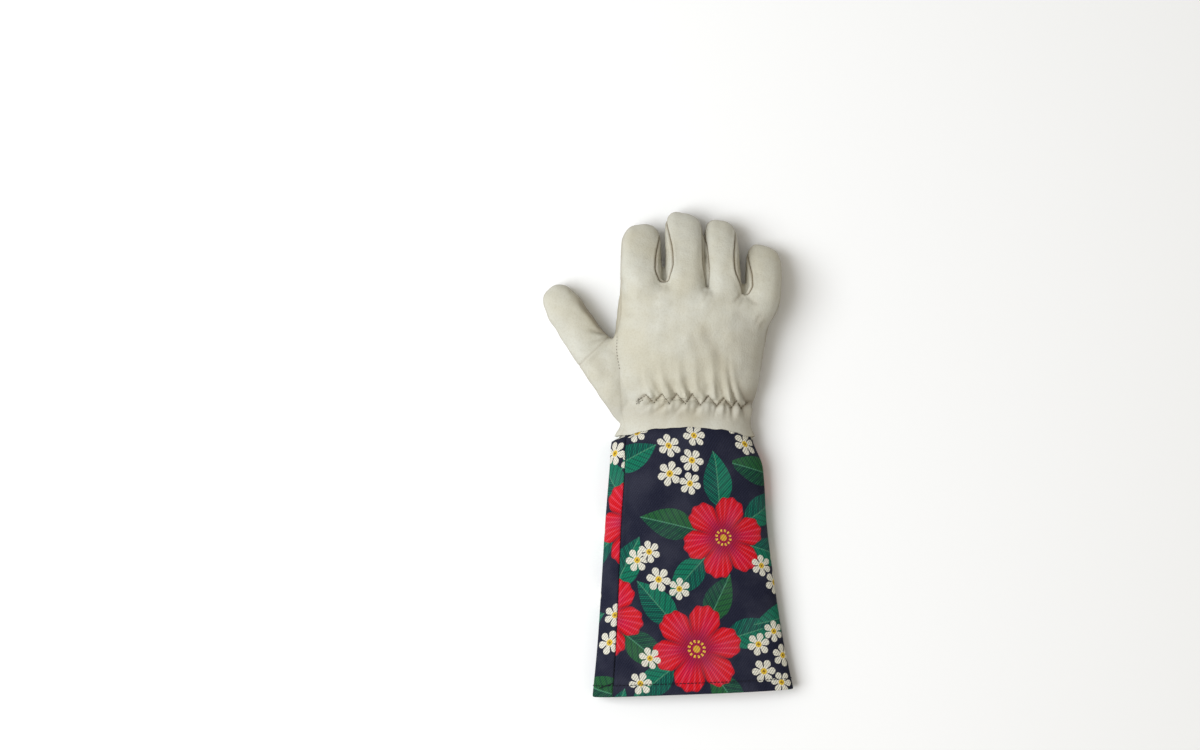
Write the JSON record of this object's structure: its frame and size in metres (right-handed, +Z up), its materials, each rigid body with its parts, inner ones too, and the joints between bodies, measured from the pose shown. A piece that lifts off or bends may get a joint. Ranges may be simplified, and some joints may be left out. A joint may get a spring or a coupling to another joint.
{
  "type": "rose pruning gauntlet",
  "caption": "Right-hand pruning glove with a gathered cream leather hand and a long flared flower-print cloth cuff, lying palm down.",
  "frame": {"origin": "middle of the footprint, on the surface that the glove lies on, under its palm side", "axes": "+Y from the cuff's mouth to the fingertips, +X towards the little finger's side, +Z up through the back of the hand"},
  "size_m": [0.201, 0.3892, 0.054],
  "materials": {
    "hand_leather": "smooth cream grain leather, soft satin",
    "cuff_cloth": "matt twill cloth, navy with a printed pattern of red and white blossoms and green leaves"
  },
  "bodies": {
    "root": {"hand_back": "hand_leather", "hand_palm": "hand_leather", "thumb": "hand_leather", "middle_front": "hand_leather", "ring_front": "hand_leather", "fork_index_middle": "hand_leather", "fork_middle_ring": "hand_leather", "fork_ring_little": "hand_leather", "cuff_back": "cuff_cloth", "cuff_palm": "cuff_cloth"}
  },
  "joints": []
}
